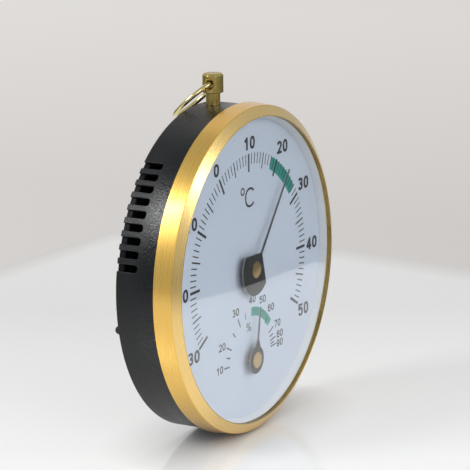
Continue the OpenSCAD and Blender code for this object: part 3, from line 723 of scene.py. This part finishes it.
def figure_strokes(sign, weight):
    """Middle lines of one figure's strokes, in a box of height 1 about x = 0."""
    upright, level = weight
    wide, low, top = 0.39 - upright / 2, level / 2, 1 - level / 2
    waist = 0.525
    if sign == "0":
        return [arc(0, 0.5, wide, top - 0.5, 0, 360, 40)]
    if sign == "1":
        return [[(0.08, 0.0), (0.08, 1.0)], [(-0.27, 0.70), (-0.1, 0.76), (0.06, 0.9)]]
    if sign == "2":
        return [arc(0, 0.70, wide, top - 0.70, 172, -28) + [(0.06, 0.38), (-wide * 0.9, low)],
                [(-wide - upright / 2, low), (wide + upright / 2, low)]]
    if sign == "3":
        bowl = waist - 0.01 + (top - waist) / 2
        return [arc(-0.02, bowl, wide * 0.93, (top - waist) / 2 + 0.01, 160, -90)
                + [(-0.1, waist - 0.02)],
                [(-0.1, waist - 0.02)]
                + arc(-0.02, (waist + low) / 2, wide, (waist - low) / 2, 90, -160)]
    if sign == "4":
        return [[(0.13, 0.0), (0.13, 1.0)], [(0.11, 0.93), (-0.34, 0.32)],
                [(-0.40, 0.31), (0.38, 0.31)]]
    if sign == "5":
        return [[(-wide * 0.78, top), (wide + upright * 0.3, top)],
                [(-wide * 0.78, 1.0), (-wide * 0.98, 0.48)],
                [(-wide * 0.98, 0.52)]
                + arc(-0.01, (0.64 + low) / 2, wide, (0.64 - low) / 2, 128, -160)]
    if sign == "6":
        return [arc(0, (0.6 + low) / 2, wide, (0.6 - low) / 2, 0, 360, 32),
                arc(0.02, 0.5, wide, top - 0.5, 30, 200)]
    if sign == "7":
        return [[(-wide - upright / 2, top), (wide + upright / 2, top)],
                [(wide, top), (0.1, 0.55), (-0.08, 0.0)]]
    if sign == "8":
        return [arc(0, (waist + top) / 2, wide * 0.88, (top - waist) / 2, 0, 360, 28),
                arc(0, (waist + low) / 2, wide, (waist - low) / 2, 0, 360, 28)]
    if sign == "9":
        return [[(-x, 1 - y) for x, y in line] for line in figure_strokes("6", weight)]
    if sign == "-":
        return [[(-0.17, 0.42), (0.17, 0.42)]]
    if sign == "C":
        return [arc(0.02, 0.5, 0.5 - upright / 2, top - 0.5, 38, 322, 36)]
    return [arc(-0.3, 0.76, 0.17, 0.19, 0, 360, 20), arc(0.3, 0.24, 0.17, 0.19, 0, 360, 20),
            [(-0.26, 0.0), (0.26, 1.0)]]


def printed_stroke(line, weight, rise):
    """A printed stroke along a line, which may run round."""
    points, faces = [], []
    closed = math.dist(line[0], line[-1]) < 1e-6
    if closed:
        line = line[:-1]
    count = len(line)
    for i, (x, y) in enumerate(line):
        x0, y0 = line[i - 1] if closed or i else line[i]
        x1, y1 = line[(i + 1) % count] if closed or i + 1 < count else line[i]
        long = math.hypot(x1 - x0, y1 - y0)
        along, aloft = (x1 - x0) / long, (y1 - y0) / long
        half = math.hypot(weight[0] * aloft, weight[1] * along) / 2
        for side in (half, -half):
            px, py = x - side * aloft, y + side * along
            points += [(px, py, dial_z + rise), (px, py, ink_rear_z)]
    for i in range(count if closed else count - 1):
        a, b = 4 * i, 4 * ((i + 1) % count)
        faces += [(a, a + 2, b + 2, b), (a + 1, b + 1, b + 3, a + 3),
                  (a, b, b + 1, a + 1), (a + 2, a + 3, b + 3, b + 2)]
    if not closed:
        a = 4 * (count - 1)
        faces += [(0, 1, 3, 2), (a, a + 2, a + 3, a + 1)]
    return points, faces


def figure(text, x, y, height, weight, pitch):
    """Print of one number, whose figures are centred at x, y, as (points, faces) in mm."""
    strokes = []
    signs = text.lstrip("-")
    places = [(sign, (i - (len(signs) - 1) / 2) * pitch) for i, sign in enumerate(signs)]
    if text != signs:
        places.append(("-", places[0][1] - pitch * minus_pitch))
    for sign, offset in places:
        for k, line in enumerate(figure_strokes(sign, weight)):
            line = [(x + (px + offset) * height, y + (py - 0.5) * height) for px, py in line]
            strokes.append(printed_stroke(line, [w * height for w in weight],
                                          ink_t + stroke_rise * k))
    return joined(strokes)


add_print("temperature_numerals", [figure(text, x, y, numeral_h, bold, numeral_pitch)
                                   for text, x, y in temperature_figures], black_ink)
add_print("celsius_sign", [figure("C", celsius_x, celsius_y, celsius_h, celsius_weight, 1.0),
                           printed_band(0, 360, degree_in, degree_out, degree_x, degree_y, ink_t)],
          black_ink)

# Humidity scale
# A smaller print round the lower axis: ticks in dark grey, a teal band, light numerals and a
# percent sign. Its divisions close up towards both ends.
humidity_ticks = [(-87.0, True), (-75.4, False), (-64.3, True), (-45.3, False), (-27.8, True),
                  (45.3, False), (65.0, True), (72.0, False), (78.0, True), (82.5, False),
                  (86.5, True)]
humidity_in, humidity_mid, humidity_out = 13.0, 15.2, 16.3
humidity_tick_w = 0.46
dry_end, damp_end = 3, 54.5
teal_in, teal_out = 13.5, 16.2
lone_tick_turn = -11.5
lone_tick_w = 0.45
lone_tick_in, lone_tick_out = 13.3, 15.5
humidity_h = 2.4
humidity_pitch = 0.9
plain = (0.215, 0.18)
percent_x, percent_y = -1.0, -18.2
percent_h = 2.8
percent_weight = (0.11, 0.11)
humidity_figures = [("10", -19.0, -27.5), ("20", -17.4, -20.6), ("30", -8.9, -11.8),
                    ("40", 1.5, -9.9), ("50", 8.0, -11.3), ("60", 13.3, -15.1),
                    ("70", 17.4, -21.1), ("80", 18.9, -24.8), ("90", 18.8, -27.7)]

add_print("humidity_ticks", [printed_bar(angle, humidity_tick_w, humidity_in,
                                         humidity_out if long else humidity_mid, hygro_drop)
                             for angle, long in humidity_ticks], grey_ink)
add_print("humidity_comfort_band",
          [printed_band(dry_end, damp_end, teal_in, teal_out, 0, -hygro_drop),
           printed_bar(lone_tick_turn, lone_tick_w, lone_tick_in, lone_tick_out, hygro_drop)],
          teal_ink)
add_print("humidity_numerals",
          [figure(text, x, y, humidity_h, plain, humidity_pitch) for text, x, y in humidity_figures]
          + [figure("%", percent_x, percent_y, percent_h, percent_weight, 1.0)], grey_ink)

# Pointers
# Two pointers stamped from thin sheet and painted near black, with bare cut edges. One has a hub
# plate with two flats that meet at the needle, the other a round hub with a short root.
pointer_z = 18.2
pointer_front_z = 18.6
temperature_turn = temperature_angle(23.0)
humidity_turn = 10.0
hub_r = 8.1
hub_flat = 4.8
hub_flat_angle = 37.0
needle_w = 0.95
tip_w = 0.45
needle_len = 35.0
disc_r = 4.3
root_half = disc_r * 0.36
waist_r = disc_r * 1.5
waist_half = tip_w * 0.75
humidity_len = 16.4
pointer_black = (0.010, 0.009, 0.009)
pointer_worn = (0.018, 0.016, 0.016)
cut_grey = (0.42, 0.43, 0.44)

pointer_finish, tree, shader = new_finish("pointer_black_paint", IOR=1.3)
speck = grain(tree, on_piece(tree), 0.35, 3.0)
tint(tree, shader, grain(tree, on_piece(tree), 5.0, 2.0), pointer_black, pointer_worn)
vary_shine(tree, shader, speck, 0.3, 0.44)
emboss(tree, shader, speck, 0.15, 0.02)

cut_metal = brushed("pointer_cut_edge", cut_grey, 0.5)


def stamped(name, outline, turn, drop, body, node):
    """A flat stamping from its outline, turned clockwise about its axis."""
    flat = [(x, y - drop) for x, y in turned_by(turn, outline)]
    piece = add_piece(name, *prism(flat, pointer_z, pointer_front_z), body, "pointer_paint",
                      pointer_finish, [node])
    piece.data.materials.append(cut_metal)
    for side in piece.data.polygons[2:]:
        side.material_index = 1
    soften(piece, 0.05)


def hub_edge(first, last, radius, steps):
    """Points on a hub's round edge, clockwise."""
    return [clock(radius, first + (last - first) * i / steps) for i in range(steps + 1)]


flat_turn = math.radians(hub_flat_angle)
flat_reach = math.degrees(math.acos(hub_flat / hub_r))
flat_end = hub_flat_angle + flat_reach
needle_root_y = hub_flat / math.cos(flat_turn) - (needle_w / 2) * math.tan(flat_turn)
stamped("temperature_pointer", [(needle_w / 2, needle_root_y)]
        + hub_edge(flat_end, 360 - flat_end, hub_r, 60)
        + [(-needle_w / 2, needle_root_y), (-tip_w / 2, needle_len), (tip_w / 2, needle_len)],
        temperature_turn, 0.0, "thermo_pointer_set", "thermo_pointer")
root_turn = math.degrees(math.atan2(root_half, disc_r * 0.88))
stamped("humidity_pointer", hub_edge(root_turn, 360 - root_turn, disc_r, 64)
        + [(-waist_half, waist_r), (-tip_w / 2, humidity_len), (tip_w / 2, humidity_len),
           (waist_half, waist_r)], humidity_turn, hygro_drop,
        "hygro_pointer_set", "hygro_pointer")

# Bosses and bushes
# Turned brass: a headed boss riveted in each pointer, and a flanged bush in the dial for each
# staff. The faces keep the fine rings of the turning tool.
boss_cap_r = 2.55
boss_cap_z = 18.9
rivet_r = 1.3
sleeve_r = 1.8
staff_r = 0.75
bush_bore_r = 0.78
bush_r = 1.7
flange_r = 2.4
flange_z = dial_z + 0.5
sleeve_z = flange_z + 0.3
bush_rear_z = 12.5
brass_tone = (0.72, 0.50, 0.21)


def turned_brass(name, y):
    """Turned brass with tool rings about its own axis and a slight tarnish."""
    finish, tree, shader = new_finish(name, Metallic=1.0)
    rings = lathe_lines(tree, 0.09, y)
    tint(tree, shader, grain(tree, on_piece(tree), 1.6, 3.0), tuple(c * 0.74 for c in brass_tone),
         brass_tone)
    vary_shine(tree, shader, rings, 0.19, 0.34)
    emboss(tree, shader, rings, 0.25, 0.02)
    return finish


boss_profile = [(0, pointer_front_z), (staff_r, pointer_front_z), (staff_r, sleeve_z),
                (sleeve_r, sleeve_z), (sleeve_r, pointer_z), (rivet_r, pointer_z),
                (rivet_r, pointer_front_z), (boss_cap_r, pointer_front_z), (boss_cap_r, boss_cap_z),
                (0, boss_cap_z)]
bush_profile = [(bush_bore_r, bush_rear_z), (bush_r, bush_rear_z), (bush_r, dial_z),
                (flange_r, dial_z), (flange_r, flange_z), (bush_bore_r, flange_z)]
for side, y, finish, body in (
        ("thermo", 0.0, turned_brass("turned_brass_upper", 0.0), "thermo_pointer_set"),
        ("hygro", -hygro_drop, turned_brass("turned_brass_lower", -hygro_drop),
         "hygro_pointer_set")):
    add_piece(side + "_boss_cap", *turned(rounded(boss_profile, 0.1), 0, y, 72), body, "brass",
              finish, [side + "_pointer_boss"])
    add_piece(side + "_dial_bush", *turned(rounded(bush_profile, 0.12), 0, y, 72), "instrument",
              "brass", finish, [side + "_bush"])

# Movements
# Brass plates, pillars and bridges, steel staffs and screws, a bimetal spiral for the
# temperature and a moisture-sensing spiral for the humidity. They are closed in by the case.
bimetal_tone = (0.50, 0.44, 0.36)
strip_tone = (0.60, 0.52, 0.40)

dress(brushed("brushed_brass", brass_tone, 0.3), "brass", "movement_plate", "bush_nuts",
      "thermo_pillars", "thermo_bridge", "thermo_rear_bush", "thermo_spiral_post",
      "thermo_collet", "hygro_pillars", "hygro_bridge", "hygro_adjuster", "hygro_spiral_post",
      "hygro_collet", "hanger_nut")
dress(steel_finish, "steel", "thermo_bridge_screws", "thermo_staff", "hygro_bridge_screws",
      "hygro_staff", "hanger_washer")
dress(brushed("bimetal_strip", bimetal_tone, 0.34), "bimetal", "thermo_spiral")
dress(brushed("sensing_strip_metal", strip_tone, 0.4), "sensing_strip", "hygro_spiral")

# Hanger stud
# A turned brass stud, screwed through the top of the case, with a cross hole through its head.
# The hole is countersunk on both sides, so that the ring swings freely.
stud_z = 4.6
thread_r = 1.5
shank_r = 2.2
spot_y = 49.85
head_y = 53.7
head_h = 5.8
head_r = 3.2
head_edge = 0.5
head_top_y = head_y + head_h
hole_y = 56.6
hole_r = 1.18
hole_sink = 0.65
sink_w = 3.8
past_head = 6
thread_end_y = 42.8
stud_turn = 8.0
stud_tone = (0.68, 0.52, 0.17)


def on_hanger(points):
    """Points drawn about the stud's axis (x, y, up it) in the place of the stud."""
    turn = math.radians(stud_turn)
    made = []
    for x, y, up in points:
        sx, sy = x * math.cos(turn) - y * math.sin(turn), x * math.sin(turn) + y * math.cos(turn)
        made.append((sx, up, stud_z - sy))
    return made


def hanger_brass(name, colour, rough):
    """Bare brass that has been handled: dull patches and fine scratches."""
    finish, tree, shader = new_finish(name, Metallic=1.0)
    place = on_piece(tree)
    ringed = add_node(tree, "Mapping", {"Vector": place, "Scale": (0.15, 0.15, 1.0)}).outputs[0]
    fine = grain(tree, ringed, 0.1, 2.0)
    tint(tree, shader, grain(tree, place, 1.8, 3.0), tuple(c * 0.66 for c in colour), colour)
    vary_shine(tree, shader, fine, rough - 0.06, rough + 0.1)
    emboss(tree, shader, fine, 0.2, 0.02)
    return finish


stud_finish = hanger_brass("stud_brass", stud_tone, 0.3)
stud_profile = rounded([(0, thread_end_y), (thread_r, thread_end_y), (thread_r, spot_y),
                        (shank_r, spot_y), (shank_r, head_y), (head_r, head_y),
                        (head_r, head_top_y - head_edge), (head_r - head_edge, head_top_y),
                        (0, head_top_y)], 0.2)
points, faces = turned(stud_profile, 0, 0, 96)
stud_piece = add_piece("hanger_stud_turned", on_hanger(points), faces, "instrument", "brass",
                       stud_finish, ["hanger_stud"])
sink_from = head_r - hole_sink
hole_profile = [(0, -past_head), (hole_r + sink_w, -past_head), (hole_r, -sink_from),
                (hole_r, sink_from), (hole_r + sink_w, past_head), (0, past_head)]
points, faces = turned(hole_profile, 0, 0, 64)
crossed = [(up, y, hole_y + x) for x, y, up in points]
cut_out(stud_piece, (on_hanger(crossed), faces))
soften(stud_piece, 0.1)

# Hanging ring
# A ring bent from bright brass wire, with its ends butted at the far side. It is threaded through
# the stud's hole, where it swings.
ring_r = 8.0
wire_r = 0.725
ring_tilt = 42.0
wire_rise = ring_r - math.sqrt(ring_r ** 2 - head_r ** 2)
ring_steps = 180
wire_steps = 20
joint_gap = 2.0
wire_tone = (0.90, 0.76, 0.38)

tilt = math.radians(ring_tilt)
points, faces = [], []
for i in range(ring_steps + 1):
    along = math.radians(90 + joint_gap / 2 + (360 - joint_gap) * i / ring_steps)
    for k in range(wire_steps):
        section = 2 * math.pi * k / wire_steps
        reach = ring_r + wire_r * math.cos(section)
        x = reach * math.cos(along)
        y = reach * math.sin(along) + ring_r - wire_rise / 2
        up = wire_r * math.sin(section)
        points.append((x, y * math.cos(tilt) + up * math.sin(tilt),
                       hole_y - y * math.sin(tilt) + up * math.cos(tilt)))
for i in range(ring_steps):
    for k in range(wire_steps):
        a, b = i * wire_steps, (i + 1) * wire_steps
        j = (k + 1) % wire_steps
        faces.append((a + k, a + j, b + j, b + k))
faces += [list(range(wire_steps)), list(range(ring_steps * wire_steps,
                                              (ring_steps + 1) * wire_steps))]
soften(add_piece("wire_ring", on_hanger(points), faces, "ring", "brass",
                 hanger_brass("ring_brass_wire", wire_tone, 0.2), ["hanging_ring"]), 0.08)

# Table, wall and floor
# The instrument stands on its bezel on a glossy white table, in front of a pale wall. The table's
# top ends not far behind and before it, and the floor of the room lies lower and is darker.
table_z = -50.9
table_outline = [(-420, -244), (30, -244), (96, -128), (150, -113), (205, -108), (223, 11),
                 (231, 70), (230, 140), (215, 170), (150, 175), (-420, 175)]
table_middle = Vector((-60.0, -20.0))
edge_fade = 20.0
wall_x = 900.0
wall_side_y, wall_end_y = 120, 2600
wall_top_z = 2200
floor_z = -760.0
floor_reach = 9000
table_tone = (0.50, 0.50, 0.50)
table_edge_tone = (0.42, 0.405, 0.39)
table_glow = (0.80, 0.795, 0.79)
away = (0.87, 0.49, 0.0)
far_glow, near_glow, gloss_glow = 0.36, 0.60, 0.64
contact_reach = 0.022
wall_tone = (0.05, 0.05, 0.05, 1)
wall_low = (0.60, 0.575, 0.555)
wall_high = (0.74, 0.715, 0.695)
wall_glow = 0.97
floor_tone = (0.15, 0.155, 0.16, 1)


def add_ground(name, points, faces, finish):
    """One surface of the room, from points in mm."""
    mesh = bpy.data.meshes.new(name)
    mesh.from_pydata([Vector(p) / 1000 for p in points], [], faces)
    mesh.materials.append(finish)
    ground = bpy.data.objects.new(name, mesh)
    bpy.context.scene.collection.objects.link(ground)
    return mesh


def show_bright(tree, shader, colour, seen_by_camera, seen_in_gloss):
    """Adds a brightness that the camera sees and one for metal and glass, less near the object as
    painted shade.
    """
    path = add_node(tree, "LightPath").outputs
    mirrored = worked(tree, "MAXIMUM", path["Is Glossy Ray"], path["Is Transmission Ray"])
    glow = worked(tree, "ADD", worked(tree, "MULTIPLY", path["Is Camera Ray"], seen_by_camera),
                  worked(tree, "MULTIPLY", mirrored, seen_in_gloss))
    # Ambient occlusion dims the glow near the object: a painted contact shade.
    near = add_node(tree, "AmbientOcclusion", {"Distance": contact_reach}, samples=8).outputs["AO"]
    tree.links.new(worked(tree, "MULTIPLY", glow, near), shader.inputs["Emission Strength"])
    tree.links.new(colour, shader.inputs["Emission Color"])


table_finish, tree, shader = new_finish("glossy_white_table", IOR=1.45, Roughness=0.13)
fade = add_node(tree, "Attribute", attribute_name="edge_fade").outputs["Fac"]
tint(tree, shader, fade, table_tone, table_edge_tone)
distance = add_node(tree, "VectorMath", {0: on_piece(tree), 1: away}, operation="DOT_PRODUCT")
show_bright(tree, shader, blend_colour(tree, fade, table_glow, wall_low),
            ramp(tree, distance.outputs["Value"], 0.14, -0.04, far_glow, near_glow), gloss_glow)
count = len(table_outline)
inner = [corner - (corner - table_middle).normalized() * edge_fade
         for corner in map(Vector, table_outline)]
table_mesh = add_ground("table_top", [(x, y, table_z) for x, y in table_outline + inner],
                        [(i, (i + 1) % count, count + (i + 1) % count, count + i)
                         for i in range(count)] + [list(range(count, 2 * count))], table_finish)
table_mesh.attributes.new("edge_fade", "FLOAT", "POINT")
table_mesh.attributes["edge_fade"].data.foreach_set("value", [1.0] * count + [0.0] * count)

wall_finish, tree, shader = new_finish("pale_wall", Roughness=0.9, Base_Color=wall_tone)
split = add_node(tree, "SeparateXYZ", {"Vector": on_piece(tree)}).outputs
glow = worked(tree, "ADD", ramp(tree, split["Y"], 0.3, 0.72, 0.0, 0.35),
              ramp(tree, split["Z"], -0.2, -0.06, 0.0, 0.65))
show_bright(tree, shader, blend_colour(tree, glow, wall_low, wall_high), wall_glow, wall_glow)
add_ground("far_wall", [(wall_x, wall_side_y, floor_z), (wall_x, wall_end_y, floor_z),
                        (wall_x, wall_end_y, wall_top_z), (wall_x, wall_side_y, wall_top_z)],
           [(0, 1, 2, 3)], wall_finish)

add_ground("room_floor", [(x * floor_reach, y * floor_reach, floor_z)
                          for x, y in ((-1, -1), (1, -1), (1, 1), (-1, 1))],
           [(0, 1, 2, 3)], new_finish("room_floor", Roughness=0.6, Base_Color=floor_tone)[0])

# Light
# A soft box stands behind the instrument's left shoulder, a large light and a small window face
# the dial from both sides, and the room is evenly pale.
room_tone = (0.92, 0.97, 1.0, 1)
room_strength = 0.5


def add_lamp(name, place, size, radiance):
    """A rectangular lamp that faces the instrument and that the camera doesn't see."""
    lamp = bpy.data.lights.new(name, "AREA")
    lamp.shape = "RECTANGLE"
    lamp.size, lamp.size_y = size
    lamp.energy = radiance * math.pi * size[0] * size[1]
    holder = bpy.data.objects.new(name, lamp)
    holder.location = place
    holder.rotation_euler = (-Vector(place)).to_track_quat("-Z", "Y").to_euler()
    holder.visible_camera = False
    bpy.context.scene.collection.objects.link(holder)


add_lamp("soft_box", (-0.80, 0.62, 0.80), (0.40, 0.45), 13.0)
add_lamp("window_light", (0.40, -1.15, 0.40), (0.28, 0.22), 9.0)
add_lamp("front_light", (-0.60, -1.05, 0.45), (0.6, 0.6), 2.6)
room = bpy.data.worlds.new("pale_room")
bpy.context.scene.world = room
room.use_nodes = True
daylight = room.node_tree.nodes["Background"].inputs
daylight["Color"].default_value = room_tone
daylight["Strength"].default_value = room_strength

# View
# The reader stands to the left of the dial and a little above it, and looks through a long lens,
# as in the photograph.
lens_mm = 185.5
film_mm = 36.0
nearest_m, farthest_m = 0.05, 20.0
eye = (-0.62648, -0.36714, 0.17424)
eye_turns = (77.1601, 0.5931, -60.5688)

view = bpy.data.cameras.new("reader_view")
view.lens = lens_mm
view.sensor_width = film_mm
view.clip_start = nearest_m
view.clip_end = farthest_m
camera = bpy.data.objects.new("reader_view", view)
camera.location = eye
camera.rotation_euler = [math.radians(turn) for turn in eye_turns]
bpy.context.scene.collection.objects.link(camera)
bpy.context.scene.camera = camera
bpy.context.scene.view_settings.view_transform = "Standard"
